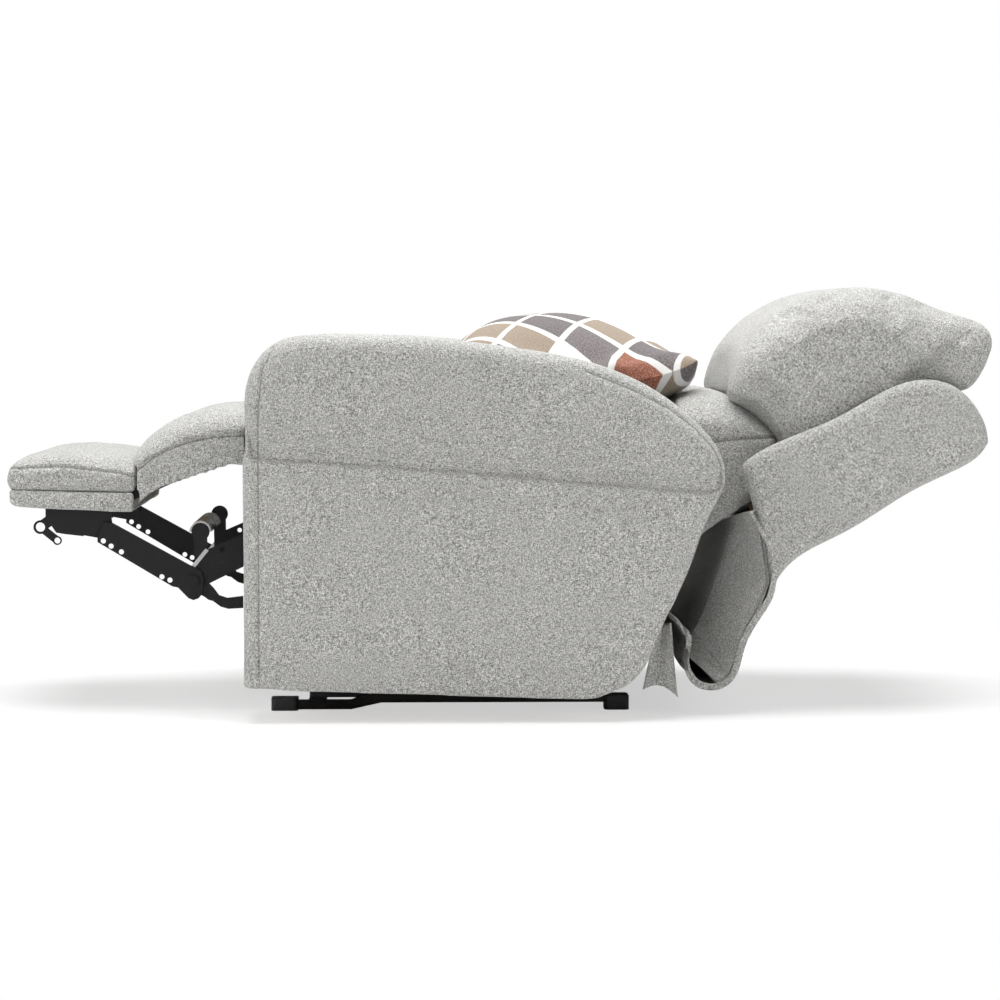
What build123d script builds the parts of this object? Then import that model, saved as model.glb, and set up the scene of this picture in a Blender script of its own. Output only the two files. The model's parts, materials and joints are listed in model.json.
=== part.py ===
from build123d import *

import os
from math import atan2, cos, degrees, hypot, radians, sin

os.makedirs("parts", exist_ok=True)

# Power lift recliner chair, fully reclined. Millimetres. The front of the chair faces -X,
# the sitter's left arm is on the -Y side, +Z is up and the floor is z = 0.
SIDES = {"left": -1, "right": 1}

# ---- overall widths, measured outward from the middle of the chair ----
SEAT_HALF = 276.0
ARM_IN = SEAT_HALF + 3
ARM_OUT = ARM_IN + 178
BACK_HALF = 350.0
HEAD_HALF = 300.0

# ---- fits ----
TOUCH_GAP = 0.3
PIN_D = 10.0
HOLE_D = 10.8
TUBE_D = 22.0
TUBE_HOLE_D = 22.8
TUBE_PRESS_D = 22.2
LIFT_TUBE_D = 32.0
LIFT_TUBE_BORE = 26.0

# ---- plate layers of the steel mechanism: inner face, all PLATE thick ----
PLATE = 4.0
HEM_T = 6.0
EAR_SLOT = 14.5
FRONT_LINK_IN = SEAT_HALF - 14
REAR_LINK_IN = FRONT_LINK_IN - PLATE - 1
SEAT_PLATE_IN = REAR_LINK_IN - PLATE - 2
EAR_IN = REAR_LINK_IN - PLATE - 1
LEG_ARM_IN = SEAT_PLATE_IN - PLATE - 1
LIFT_ARM_IN = SEAT_PLATE_IN - PLATE - 2
GUIDE_IN = LIFT_ARM_IN - PLATE - 2
GUIDE_POST_IN = GUIDE_IN - PLATE - 2

# ---- pivots (x, z) ----
LEG_PIVOT = (-465, 485)
OTTOMAN_PIVOT = (-652, 400)
LINK_PIVOT = (-310, 390)
KNEE_PIVOT = (-552, 239)
OTTOMAN_LINK_PIVOT = (-711, 334)
BACK_PIVOT = (330, 400)
LIFT_BASE_PIVOT = (150, 70)
LIFT_SEAT_PIVOT = (-200, 85)
GUIDE_BASE_PIVOT = (0, 90)
GUIDE_SEAT_PIVOT = (-270, 100)
BACK_ANGLE = 31.4
ARCH_MIDDLE = (-539, 327)
ARCH_D = 40.0
ARCH_T = 3.5
ARCH_END = 15.0
BRACE_T = 0.7
BUMPER_EYE = (-828.5, 336)
SMALL_EYE = (-798, 311.5)
LINK_HOLES = [(-714.5, 311), (-700.5, 301.5), (-682, 291), (-609, 245.5), (-594.5, 239.5)]

# ---- motors: tail pivot, crank pivot, sideways place ----
LIFT_MOTOR = ((-300, 60), (120, 125), 0)
FOOT_MOTOR = ((270, 330), (-341, 364.8), -70)
BACK_MOTOR = ((-270, 350), (310.5, 343.3), 70)
CRANK_IN = 14.0

FLAP_T = 5.0

# ---- arms: pad wall over the boards, padded board thickness, outer boards' inner faces ----
PAD_WALL = 10.6
BOARD_T = 13.8
INNER_BOARD_IN = ARM_IN + PAD_WALL + 0.7
OUTER_BOARD_IN = ARM_OUT - PAD_WALL - 0.5 - BOARD_T
BOX_IN = INNER_BOARD_IN + BOARD_T + 0.3
BOX_WIDTH = OUTER_BOARD_IN - 0.3 - BOX_IN

# ---- base ----
RAIL_OUT = FRONT_LINK_IN
RAIL_IN = RAIL_OUT - 40
RAIL_T = 14.0
FRONT_GLIDE = (-412, -363, 22)
REAR_GLIDE = (196, 241, 27)

# ---- push buttons on the control panel ----
PANEL_MID = (-190, 400)
PANEL_SIZE = (120, 70)
PANEL_IN = ARM_OUT - 10.7
PANEL_T = 8.0
BUTTON_D = 18.0
BUTTON_TRAVEL = 1.5
BUTTONS = {"lift": (-32, 13), "lower": (-32, -13), "recline": (12, 13), "upright": (12, -13)}

# ---- side outlines (x, z) ----
ARM_TOP = [(-448, 470), (-447, 560), (-432, 635), (-385, 669), (-300, 676), (-122, 667), (35, 647),
           (175, 616), (260, 578), (331, 533), (385, 481), (397, 440), (393, 408)]
ARM_FOLD = [(393, 408), (245, 418), (105, 430), (-60, 447), (-350, 464), (-448, 470)]
ARM_REAR = [(389, 403), (363, 355), (331, 266), (288, 173), (250, 90), (219, 63)]
ARM_FOOT = [(219, 63), (175, 45), (150, 42), (0, 47), (-175, 54), (-350, 59.5), (-411.5, 63)]
ARM_BOARD_TOP = [(-411.5, 560), (-380, 596), (-100, 588), (100, 556), (235, 500), (322, 440), (322, 403)]
WING_TOP = [(432, 452), (506, 493), (612, 536), (698, 586), (760, 606), (822, 593), (865, 538), (878, 500)]
WING_REAR = [(878, 500), (841, 464), (731, 397), (616, 325), (535, 280), (497, 234)]
WING_FRONT = [(497, 234), (481, 241), (483, 261), (471, 323), (451, 400), (432, 452)]
HEAD_TOP = [(381, 588), (406, 638), (440, 672), (484, 708), (527, 732), (570, 752), (619, 764), (667, 767),
            (715, 761), (764, 744), (812, 720), (860, 701), (886, 686), (894, 662), (884, 633), (870, 604),
            (852, 580)]
FLAP_LOOP = [(495.5, 234.2), (486, 205), (467, 176), (449, 146), (436, 110), (427, 78), (410, 57), (382, 49), (356, 57),
             (339, 80), (335, 107), (340, 133), (329, 157)]
FLAP_HOOK = [(335, 150), (326, 168), (311, 180.8), (297, 182.6), (284.6, 175), (278, 150), (274, 120), (266, 90), (256, 64)]
FLAP_LINING = [(432, 353.5), (415, 275), (384, 185), (355, 125), (341.5, 104)]
LUMBAR_TOP = [(329, 576), (353, 581), (382, 582), (416, 573), (450, 558), (478, 536), (500, 508), (510, 489)]
FOOT_TOP = [(-887, 402), (-891, 425), (-885, 441), (-848, 470), (-800, 484), (-741, 486), (-690, 481),
            (-659, 474), (-659, 397)]
LEG_TOP = [(-649, 440), (-650, 472), (-638, 493), (-597, 530), (-545, 552), (-496, 559), (-458, 560)]
LEG_UNDER = [(-458, 503), (-540, 497), (-597, 476), (-649, 440)]
LEG_HEM = [(-458, 447), (-484, 448), (-554, 428), (-603, 406), (-644, 373), (-649, 400)]


def save(part, name):
    """Labels a finished piece and writes it out under its own name."""
    part.label = name
    export_step(part, f"parts/{name}.step")


def layer(side, inner, thickness):
    """Upright plane from which extruding `thickness` fills inner..inner + thickness on that side."""
    return Plane.XZ.offset(inner if side < 0 else -(inner + thickness))


def bar(start, end, width):
    """Adds a round-ended bar between two pivots to the sketch being drawn."""
    length = hypot(end[0] - start[0], end[1] - start[1])
    turn = degrees(atan2(end[1] - start[1], end[0] - start[0]))
    with Locations(((start[0] + end[0]) / 2, (start[1] + end[1]) / 2)):
        SlotCenterToCenter(length, width, rotation=turn)


def disc(middle, diameter, mode=Mode.ADD):
    """Adds a round to the sketch being drawn."""
    with Locations(middle):
        Circle(diameter / 2, mode=mode)


def stud(side, middle, start, end, diameter=PIN_D):
    """Adds a pivot stud across the chair to the part being built."""
    with BuildSketch(layer(side, start, end - start)) as section:
        disc(middle, diameter)
    extrude(section.sketch, amount=end - start)


def rail(low, high, half_width, wall=2.5):
    """Adds a box tube across the chair to the part being built."""
    with BuildSketch(Plane.XZ) as section:
        with Locations(((low[0] + high[0]) / 2, (low[1] + high[1]) / 2)):
            Rectangle(high[0] - low[0], high[1] - low[1])
            Rectangle(high[0] - low[0] - 2 * wall, high[1] - low[1] - 2 * wall, mode=Mode.SUBTRACT)
    extrude(section.sketch, amount=half_width, both=True)


def cheeks(middle_y, inner, thickness, shapes):
    """Adds a pair of plates either side of a motor eye; `shapes` draws one plate."""
    for face in (middle_y - inner - thickness, middle_y + inner):
        with BuildSketch(Plane.XZ.offset(-(face + thickness))) as section:
            shapes()
        extrude(section.sketch, amount=thickness)


def shifted(points, distance):
    """Points of an open line moved sideways by a distance, to its right."""
    moved = []
    for place, (x, z) in enumerate(points):
        before = points[max(place - 1, 0)]
        after = points[min(place + 1, len(points) - 1)]
        run = hypot(after[0] - before[0], after[1] - before[1])
        moved.append((x + distance * (after[1] - before[1]) / run, z - distance * (after[0] - before[0]) / run))
    return moved


def on_back(along, above):
    """Side-view point for a distance along the back and a height above its pivot line."""
    turn = radians(BACK_ANGLE)
    return (BACK_PIVOT[0] + along * cos(turn) - above * sin(turn),
            BACK_PIVOT[1] + along * sin(turn) + above * cos(turn))


BRACKET_BEND = on_back(100, -72)
BRACKET_END = on_back(240, -122)
BRACKET_WIDTH = 32.0


# ================= base =================
def base_rail(side_name, side):
    """Flat floor rail: low at the front glide, stepped up behind it."""
    with BuildPart() as base_rail_part:
        with BuildSketch(layer(side, RAIL_IN, RAIL_OUT - RAIL_IN)):
            with BuildLine():
                Polyline((-363, 2), (-267, 2), (-213, 14), (196, 14), (196, 14 + RAIL_T + 8),
                         (-213, 14 + RAIL_T + 8), (-267, 2 + RAIL_T), (-363, 2 + RAIL_T), close=True)
            make_face()
        extrude(amount=RAIL_OUT - RAIL_IN)
        fillet(base_rail_part.edges().filter_by(Axis.X), 2)
    save(base_rail_part.part, f"base_rail_{side_name}")


def base_cross_tubes():
    """Front and rear cross tubes of the floor frame; the front one holds the lift motor."""
    tail, _, middle_y = LIFT_MOTOR

    def motor_ear():
        bar((-326, 20), tail, 26)
        with Locations((-329, 12)):
            Rectangle(26, 18)

    with BuildPart() as base_front_tube:
        rail((-345, 2.5), (-315, 15.5), RAIL_IN, 2)
        cheeks(middle_y, 15, 4, motor_ear)
        with BuildSketch(Plane.XZ):
            with Locations((-330, 9)):
                Rectangle(26, 9)
        extrude(amount=19, both=True)
        with BuildSketch(Plane.XZ):
            disc(tail, PIN_D)
        extrude(amount=19, both=True)
    save(base_front_tube.part, "base_front_tube")
    with BuildPart() as base_rear_tube:
        rail((150, 15), (190, 35), RAIL_IN, 2.5)
    save(base_rear_tube.part, "base_rear_tube")


def floor_glides():
    """Four plastic floor glides under the ends of the rails."""
    with BuildPart() as floor_glides_part:
        for start, end, height in (FRONT_GLIDE, REAR_GLIDE):
            for side in SIDES.values():
                with BuildSketch(layer(side, RAIL_IN - 3, RAIL_OUT - RAIL_IN + 6)):
                    with Locations(((start + end) / 2, height / 2)):
                        Rectangle(end - start, height)
                extrude(amount=RAIL_OUT - RAIL_IN + 6)
        fillet(floor_glides_part.edges().filter_by(Axis.Z), 8)
        fillet(floor_glides_part.faces().filter_by(Axis.Z).sort_by(Axis.Z)[-2:].edges(), 3)
    save(floor_glides_part.part, "floor_glides")


def base_posts():
    """Upright plates welded to the rails that carry the lift arms and the guide links."""
    rail_top = 14 + RAIL_T + 8
    with BuildPart() as base_posts_part:
        for side in SIDES.values():
            for pivot, inner in ((LIFT_BASE_PIVOT, SEAT_PLATE_IN), (GUIDE_BASE_PIVOT, GUIDE_POST_IN)):
                with BuildSketch(layer(side, inner, PLATE)):
                    with BuildLine():
                        Polyline((pivot[0] - 38, rail_top), (pivot[0] + 38, rail_top), (pivot[0] + 18, pivot[1]),
                                 (pivot[0] - 18, pivot[1]), close=True)
                    make_face()
                    disc(pivot, 36)
                extrude(amount=PLATE)
            stud(side, LIFT_BASE_PIVOT, LIFT_ARM_IN - 0.6, SEAT_PLATE_IN)
            stud(side, LIFT_BASE_PIVOT, LIFT_ARM_IN - 3.1, LIFT_ARM_IN - 0.6, 20)
            stud(side, GUIDE_BASE_PIVOT, GUIDE_POST_IN + PLATE, GUIDE_IN + PLATE + 0.5)
    save(base_posts_part.part, "base_posts")


def power_supply():
    """Plastic power box standing on the front cross tube, with its mains inlet at the back."""
    low, high = 15.5, 50.0
    middle = (-290, 72 - RAIL_IN)
    rear_face = middle[0] + 55
    inlet_z = (low + high) / 2
    with BuildPart() as power_supply_part:
        with BuildSketch(Plane.XY.offset(low)):
            with Locations(middle):
                RectangleRounded(110, 84, 8)
        extrude(amount=high - low)
        fillet(power_supply_part.faces().sort_by(Axis.Z)[-1].edges(), 4)
        with BuildSketch(Plane.YZ.offset(rear_face)):
            with Locations((middle[1], inlet_z)):
                RectangleRounded(30, 20, 4)
        extrude(amount=-14, mode=Mode.SUBTRACT)
        with BuildSketch(Plane.YZ.offset(rear_face - 14)):
            with Locations((middle[1] - 8, inlet_z), (middle[1] + 8, inlet_z)):
                Circle(2)
        extrude(amount=11)
    save(power_supply_part.part, "power_supply")


# ================= lift linkage =================
def lift_arms():
    """Two long lift arms and the cross tube with its crank that the lift motor pushes."""
    for side_name, side in SIDES.items():
        with BuildPart() as lift_arm:
            with BuildSketch(layer(side, LIFT_ARM_IN, PLATE)):
                bar(LIFT_BASE_PIVOT, LIFT_SEAT_PIVOT, 36)
                disc(LIFT_BASE_PIVOT, HOLE_D, Mode.SUBTRACT)
                disc(LIFT_SEAT_PIVOT, HOLE_D, Mode.SUBTRACT)
            extrude(amount=PLATE)
        save(lift_arm.part, f"lift_arm_{side_name}")
    _, crank, middle_y = LIFT_MOTOR

    def crank_plate():
        bar(LIFT_BASE_PIVOT, crank, 26)

    with BuildPart() as lift_cross_tube:
        with BuildSketch(Plane.XZ):
            disc(LIFT_BASE_PIVOT, LIFT_TUBE_D)
            disc(LIFT_BASE_PIVOT, LIFT_TUBE_BORE, Mode.SUBTRACT)
        extrude(amount=LIFT_ARM_IN, both=True)
        cheeks(middle_y, CRANK_IN, 6, crank_plate)
        for side in SIDES.values():
            stud(side, crank, CRANK_IN - 1.7, CRANK_IN)
    save(lift_cross_tube.part, "lift_cross_tube")


def guide_links():
    """Links that keep the seat tilting forward as the lift arms raise it."""
    for side_name, side in SIDES.items():
        with BuildPart() as guide_link:
            with BuildSketch(layer(side, GUIDE_IN, PLATE)):
                bar(GUIDE_BASE_PIVOT, GUIDE_SEAT_PIVOT, 24)
                disc(GUIDE_BASE_PIVOT, HOLE_D, Mode.SUBTRACT)
            extrude(amount=PLATE)
        save(guide_link.part, f"guide_link_{side_name}")


# ================= motors =================
def motor(name, place, body_length, hang):
    """Linear motor in two pieces: gearbox with outer tube, and the ram that slides out of it."""
    tail, crank, middle_y = place
    length = hypot(crank[0] - tail[0], crank[1] - tail[1])
    along = Vector((crank[0] - tail[0]) / length, 0, (crank[1] - tail[1]) / length)
    origin = Vector(tail[0], middle_y, tail[1])
    side_view = Plane(origin=origin, x_dir=along, z_dir=(0, -1, 0))
    end_view = Plane(origin=origin, x_dir=(0, 1, 0), z_dir=along)
    with BuildPart() as housing:
        with BuildSketch(side_view):
            with Locations((18, 0)):
                SlotOverall(60, 24)
            Circle(HOLE_D / 2, mode=Mode.SUBTRACT)
        extrude(amount=12, both=True)
        with BuildSketch(end_view.offset(22)):
            RectangleRounded(48, 50, 8)
        extrude(amount=58)
        with BuildSketch(end_view.offset(80)):
            Circle(17)
        extrude(amount=body_length - 80)
        with BuildSketch(end_view.offset(body_length - 16)):
            Circle(20)
        extrude(amount=16)
        if hang:
            with BuildSketch(Plane(origin=origin + along * 51, z_dir=(0, 0, -1))):
                Circle(21)
            extrude(amount=95)
        else:
            with BuildSketch(Plane(origin=origin + along * 51, z_dir=(0, 1, 0))):
                Circle(21)
            extrude(amount=105)
        with BuildSketch(end_view.offset(86)):
            Circle(10.6)
        extrude(amount=body_length, mode=Mode.SUBTRACT)
    save(housing.part, f"{name}_motor")
    with BuildPart() as ram:
        with BuildSketch(end_view.offset(body_length - 60)):
            Circle(10)
        extrude(amount=length - 10 - (body_length - 60))
        with BuildSketch(side_view):
            with Locations((length - 9, 0)):
                SlotOverall(42, 24)
        extrude(amount=12, both=True)
    save(ram.part, f"{name}_ram")


# ================= seat frame =================
def seat_side_plates():
    """Main steel side plates: leg pivot nose, seat beam, lift leg and the drop to the tail rail."""
    for side_name, side in SIDES.items():
        with BuildPart() as seat_side_plate:
            with BuildSketch(layer(side, SEAT_PLATE_IN, PLATE)):
                bar(LEG_PIVOT, LINK_PIVOT, 28)
                bar(LINK_PIVOT, BACK_PIVOT, 30)
                disc(BACK_PIVOT, 36)
                disc(LINK_PIVOT, 44)
                bar((-130, 378), (-165, 150), 56)
                bar((-165, 150), LIFT_SEAT_PIVOT, 40)
                bar(LIFT_SEAT_PIVOT, GUIDE_SEAT_PIVOT, 32)
                bar((300, 390), (300, 172), 22)
                disc(LINK_PIVOT, TUBE_HOLE_D, Mode.SUBTRACT)
                disc(BACK_PIVOT, TUBE_HOLE_D, Mode.SUBTRACT)
            extrude(amount=PLATE)
            stud(side, LEG_PIVOT, LEG_ARM_IN - 0.6, SEAT_PLATE_IN)
            stud(side, LEG_PIVOT, LEG_ARM_IN - 3, LEG_ARM_IN - 0.6, 18)
            stud(side, LIFT_SEAT_PIVOT, LIFT_ARM_IN - 0.6, SEAT_PLATE_IN)
            stud(side, GUIDE_SEAT_PIVOT, GUIDE_IN + PLATE + TOUCH_GAP, SEAT_PLATE_IN)
        save(seat_side_plate.part, f"seat_side_plate_{side_name}")


def seat_rails():
    """Cross rails between the side plates, with ears for the back and footrest motors."""
    for name, low_x, place, lean in (("seat_front_rail", -285, BACK_MOTOR, 1), ("seat_rear_rail", 255, FOOT_MOTOR, -1)):
        tail, _, middle_y = place

        def motor_ear():
            bar((tail[0], 384), tail, 26)

        with BuildPart() as cross_rail:
            rail((low_x, 380), (low_x + 30, 410), SEAT_PLATE_IN)
            cheeks(middle_y, 15, 4, motor_ear)
            with BuildSketch(Plane.XZ.offset(-(middle_y + 19))):
                disc(tail, PIN_D)
            extrude(amount=38)
        save(cross_rail.part, name)
    with BuildPart() as tail_rail:
        rail((291, 158), (309, 174), SEAT_PLATE_IN, 2)
    save(tail_rail.part, "tail_rail")


def seat_springs():
    """Four wavy wire springs stretched between the cross rails."""
    wave = 24.0
    turns = 17
    half_run = 270.0
    hook = 15.0
    pitch = 2 * (half_run - hook) / turns
    wire = 4.0
    height = 410 + wire / 2
    with BuildPart() as seat_springs_part:
        for middle_y in (-165, -55, 55, 165):
            with BuildLine(Plane.XY.offset(height)) as path:
                steps = [(-half_run, middle_y)]
                for step in range(turns):
                    reach = wave if step % 2 else -wave
                    start = hook - half_run + step * pitch
                    steps += [(start, middle_y + reach), (start + pitch, middle_y + reach)]
                FilletPolyline(*steps, (half_run, middle_y), radius=8)
            with BuildSketch(Plane(path.line @ 0, z_dir=path.line % 0)):
                Circle(wire / 2)
            sweep(path=path.line)
    save(seat_springs_part.part, "seat_springs")


def seat_cushion():
    """Foam seat, notched at the front for the leg pivots and cut back for the upright backrest."""
    with BuildPart() as seat_cushion_part:
        with BuildSketch(Plane.XZ):
            with BuildLine():
                Polyline((-450, 545), (-450, 430), (-430, 415), (287, 415), (287, 436), (180, 506))
                Spline((180, 506), (100, 528), (-100, 546), (-430, 562))
                Line((-430, 562), (-450, 545))
            make_face()
        extrude(amount=SEAT_HALF, both=True)
        fillet(seat_cushion_part.edges().filter_by(Axis.Y).sort_by(Axis.X)[:2], 12)
        for side in SIDES.values():
            with BuildSketch(layer(side, LEG_ARM_IN - 5, SEAT_HALF - LEG_ARM_IN + 5)):
                bar(LEG_PIVOT, LINK_PIVOT, 34)
                with BuildLine():
                    Polyline((-452, 410), (-406, 410), (-406, 506), (-452, 506), close=True)
                make_face()
            extrude(amount=SEAT_HALF - LEG_ARM_IN + 5, mode=Mode.SUBTRACT)
    save(seat_cushion_part.part, "seat_cushion")


def arm_mounts():
    """Spacers that bolt the arms to the side plates."""
    with BuildPart() as arm_mounts_part:
        for side in SIDES.values():
            for place in ((-200, 392), (0, 395), (250, 398)):
                stud(side, place, SEAT_PLATE_IN + PLATE, INNER_BOARD_IN, 18)
    save(arm_mounts_part.part, "arm_mounts")


# ================= arms =================
def arm(side_name, side):
    """One arm: plywood box frame, outer, inner and front padded boards, and the pillow pad."""
    rear_run = [(x - 13, z) for x, z in ARM_REAR[:5]]
    with BuildLine() as board_outline:
        Polyline(*ARM_BOARD_TOP, ARM_REAR[0])
        Spline(*ARM_REAR)
        Polyline(*ARM_FOOT, ARM_BOARD_TOP[0])
    with BuildPart() as arm_frame:
        with BuildSketch(layer(side, BOX_IN, BOX_WIDTH)):
            with BuildLine():
                Polyline((-411, 70), (-411, 556), (-378, 592), (-100, 584), (100, 552), (235, 496),
                         (318, 436), (318, 403), (300, 300), (262, 190), (210, 75), close=True)
            make_face()
            offset(amount=-18, kind=Kind.INTERSECTION, mode=Mode.SUBTRACT)
        extrude(amount=BOX_WIDTH)
    save(arm_frame.part, f"arm_frame_{side_name}")
    with BuildPart() as arm_outer_panel:
        with BuildSketch(layer(side, OUTER_BOARD_IN, BOARD_T)):
            make_face(board_outline.edges())
        extrude(amount=BOARD_T)
        with BuildSketch(layer(side, BOX_IN, BOX_WIDTH + 0.3)):
            with BuildLine():
                Polyline(*ARM_REAR[:5], rear_run[4], *rear_run[3::-1], close=True)
            make_face()
        extrude(amount=BOX_WIDTH + 0.3)
    save(arm_outer_panel.part, f"arm_outer_panel_{side_name}")
    with BuildPart() as arm_inner_panel:
        with BuildSketch(layer(side, INNER_BOARD_IN, BOARD_T)):
            make_face(board_outline.edges())
        extrude(amount=BOARD_T)
    save(arm_inner_panel.part, f"arm_inner_panel_{side_name}")
    with BuildPart() as arm_front_panel:
        with BuildSketch(Plane.XY.offset(63)):
            with Locations((-431, side * (ARM_IN + ARM_OUT) / 2)):
                RectangleRounded(38, ARM_OUT - ARM_IN - 2 * PAD_WALL, 14)
        extrude(amount=405)
    save(arm_front_panel.part, f"arm_front_panel_{side_name}")
    with BuildPart() as arm_pad:
        with BuildSketch(layer(side, ARM_IN, ARM_OUT - ARM_IN)):
            with BuildLine():
                Spline(*ARM_TOP)
                Polyline(*ARM_FOLD)
            make_face()
        extrude(amount=ARM_OUT - ARM_IN)
        top_edges = arm_pad.edges().filter_by(lambda edge: edge.length > 900)
        fillet(top_edges, 30)
        with BuildSketch(layer(side, ARM_IN + PAD_WALL, ARM_OUT - ARM_IN - 2 * PAD_WALL)):
            with BuildLine():
                Polyline((-428, 380), (-428, 562), (-384, 600), (-98, 592), (102, 560), (238, 503), (329, 442),
                         (329, 380), close=True)
            make_face()
        extrude(amount=ARM_OUT - ARM_IN - 2 * PAD_WALL, mode=Mode.SUBTRACT)
    save(arm_pad.part, f"arm_pad_{side_name}")


def control_panel():
    """Push-button panel on the outside of the right arm, and its four buttons."""
    with BuildPart() as control_panel_part:
        with BuildSketch(layer(1, PANEL_IN, PANEL_T)):
            with Locations(PANEL_MID):
                RectangleRounded(*PANEL_SIZE, 12)
        extrude(amount=PANEL_T)
        with BuildSketch(layer(1, PANEL_IN + 2, PANEL_T)):
            for place in BUTTONS.values():
                disc((PANEL_MID[0] + place[0], PANEL_MID[1] + place[1]), BUTTON_D + 0.8)
        extrude(amount=PANEL_T, mode=Mode.SUBTRACT)
    save(control_panel_part.part, "control_panel")
    for button_name, place in BUTTONS.items():
        with BuildPart() as button:
            with BuildSketch(layer(1, PANEL_IN + 2.3 + BUTTON_TRAVEL, 6)):
                disc((PANEL_MID[0] + place[0], PANEL_MID[1] + place[1]), BUTTON_D)
            extrude(amount=6)
            fillet(button.edges().sort_by(Axis.Y)[-1], 1)
        save(button.part, f"button_{button_name}")


# ================= back =================
def back_shell():
    """Padded outer back with its two side wings, open toward the cushions."""
    with BuildPart() as back_shell_part:
        with BuildSketch(Plane.XZ):
            with BuildLine():
                Spline(*WING_TOP)
                Spline(*WING_REAR)
                Polyline(*WING_FRONT)
            make_face()
        extrude(amount=BACK_HALF, both=True)
        with BuildSketch(Plane.XZ):
            with BuildLine():
                Polyline(on_back(30, -198.5), on_back(503, -198.5), on_back(507, -150), on_back(506, -90),
                         on_back(488, -70), on_back(470, 60), on_back(30, 60), close=True)
            make_face()
        extrude(amount=BACK_HALF - 30, both=True, mode=Mode.SUBTRACT)
    save(back_shell_part.part, "back_shell")


def back_frame():
    """Wooden ladder frame inside the back."""
    width = 2 * (LEG_ARM_IN - 0.3)
    turn = radians(BACK_ANGLE)
    slope = Plane(origin=(BACK_PIVOT[0], 0, BACK_PIVOT[1]), x_dir=(cos(turn), 0, sin(turn)),
                  z_dir=(-sin(turn), 0, cos(turn)))
    with BuildPart() as back_frame_part:
        with BuildSketch(slope.offset(-198.2)):
            with Locations((297, 0)):
                Rectangle(404, width)
            with Locations((211, 0), (383, 0)):
                Rectangle(148, width - 50, mode=Mode.SUBTRACT)
        extrude(amount=106.9)
    save(back_frame_part.part, "back_frame")


def back_brackets():
    """Steel brackets from the back pivot to the wooden frame, and the tube with its crank."""
    _, crank, middle_y = BACK_MOTOR
    with BuildPart() as back_brackets_part:
        for side in SIDES.values():
            with BuildSketch(layer(side, LEG_ARM_IN, PLATE)):
                bar(BACK_PIVOT, BRACKET_BEND, BRACKET_WIDTH)
                bar(BRACKET_BEND, BRACKET_END, BRACKET_WIDTH)
                disc(BACK_PIVOT, TUBE_PRESS_D, Mode.SUBTRACT)
            extrude(amount=PLATE)
    save(back_brackets_part.part, "back_brackets")

    def crank_plate():
        bar(BACK_PIVOT, crank, 26)

    with BuildPart() as back_torque_tube:
        with BuildSketch(Plane.XZ):
            disc(BACK_PIVOT, TUBE_D)
        extrude(amount=SEAT_PLATE_IN + PLATE, both=True)
        cheeks(middle_y, CRANK_IN, 6, crank_plate)
        for face in (middle_y - CRANK_IN, middle_y + CRANK_IN - 1.7 + 3.4):
            with BuildSketch(Plane.XZ.offset(-(face + (1.7 if face < middle_y else 0)))):
                disc(crank, PIN_D)
            extrude(amount=1.7)
    save(back_torque_tube.part, "back_torque_tube")


def cushions():
    """Lumbar bolster between the arms and the large head pillow above it."""
    with BuildPart() as lumbar_cushion:
        with BuildSketch(Plane.XZ):
            with BuildLine():
                Spline(*LUMBAR_TOP)
                Polyline(LUMBAR_TOP[-1], on_back(198, -91), on_back(26, -91), on_back(26, -20), (348, 428),
                         (318, 500), LUMBAR_TOP[0])
            make_face()
        extrude(amount=SEAT_HALF, both=True)
        cheek_in = SEAT_PLATE_IN + PLATE + 1.5
        for side in SIDES.values():
            with BuildSketch(layer(side, cheek_in, SEAT_HALF - cheek_in)):
                with BuildLine():
                    Polyline((348, 428), (338, 380), (345, 295), (432, 357), (420, 420), close=True)
                make_face()
            extrude(amount=SEAT_HALF - cheek_in)
            with BuildSketch(layer(side, LEG_ARM_IN - 0.4, PLATE + 0.8)):
                bar(BACK_PIVOT, BRACKET_BEND, BRACKET_WIDTH + 1)
                bar(BRACKET_BEND, BRACKET_END, BRACKET_WIDTH + 1)
            extrude(amount=PLATE + 0.8, mode=Mode.SUBTRACT)
    save(lumbar_cushion.part, "lumbar_cushion")
    seam = [(x + 0.5, z + 0.5) for x, z in LUMBAR_TOP[2:]]
    with BuildPart() as head_cushion:
        with BuildSketch(Plane.XZ):
            with BuildLine():
                Spline(*HEAD_TOP)
                Polyline(HEAD_TOP[-1], on_back(533, -112), on_back(524, -84), on_back(503, -57), on_back(480, -44),
                         on_back(469, -90), on_back(201, -90), seam[-1])
                Spline(*seam[::-1])
                Line(seam[0], HEAD_TOP[0])
            make_face()
        extrude(amount=HEAD_HALF, both=True)
        fillet(head_cushion.edges().filter_by(lambda edge: edge.length > 500 and edge.geom_type == GeomType.BSPLINE),
               20)
        for side in SIDES.values():
            with BuildSketch(layer(side, SEAT_HALF, HEAD_HALF - SEAT_HALF + 1)):
                disc(HEAD_TOP[0], 26)
            extrude(amount=HEAD_HALF - SEAT_HALF + 1, mode=Mode.SUBTRACT)
    save(head_cushion.part, "head_cushion")


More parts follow.
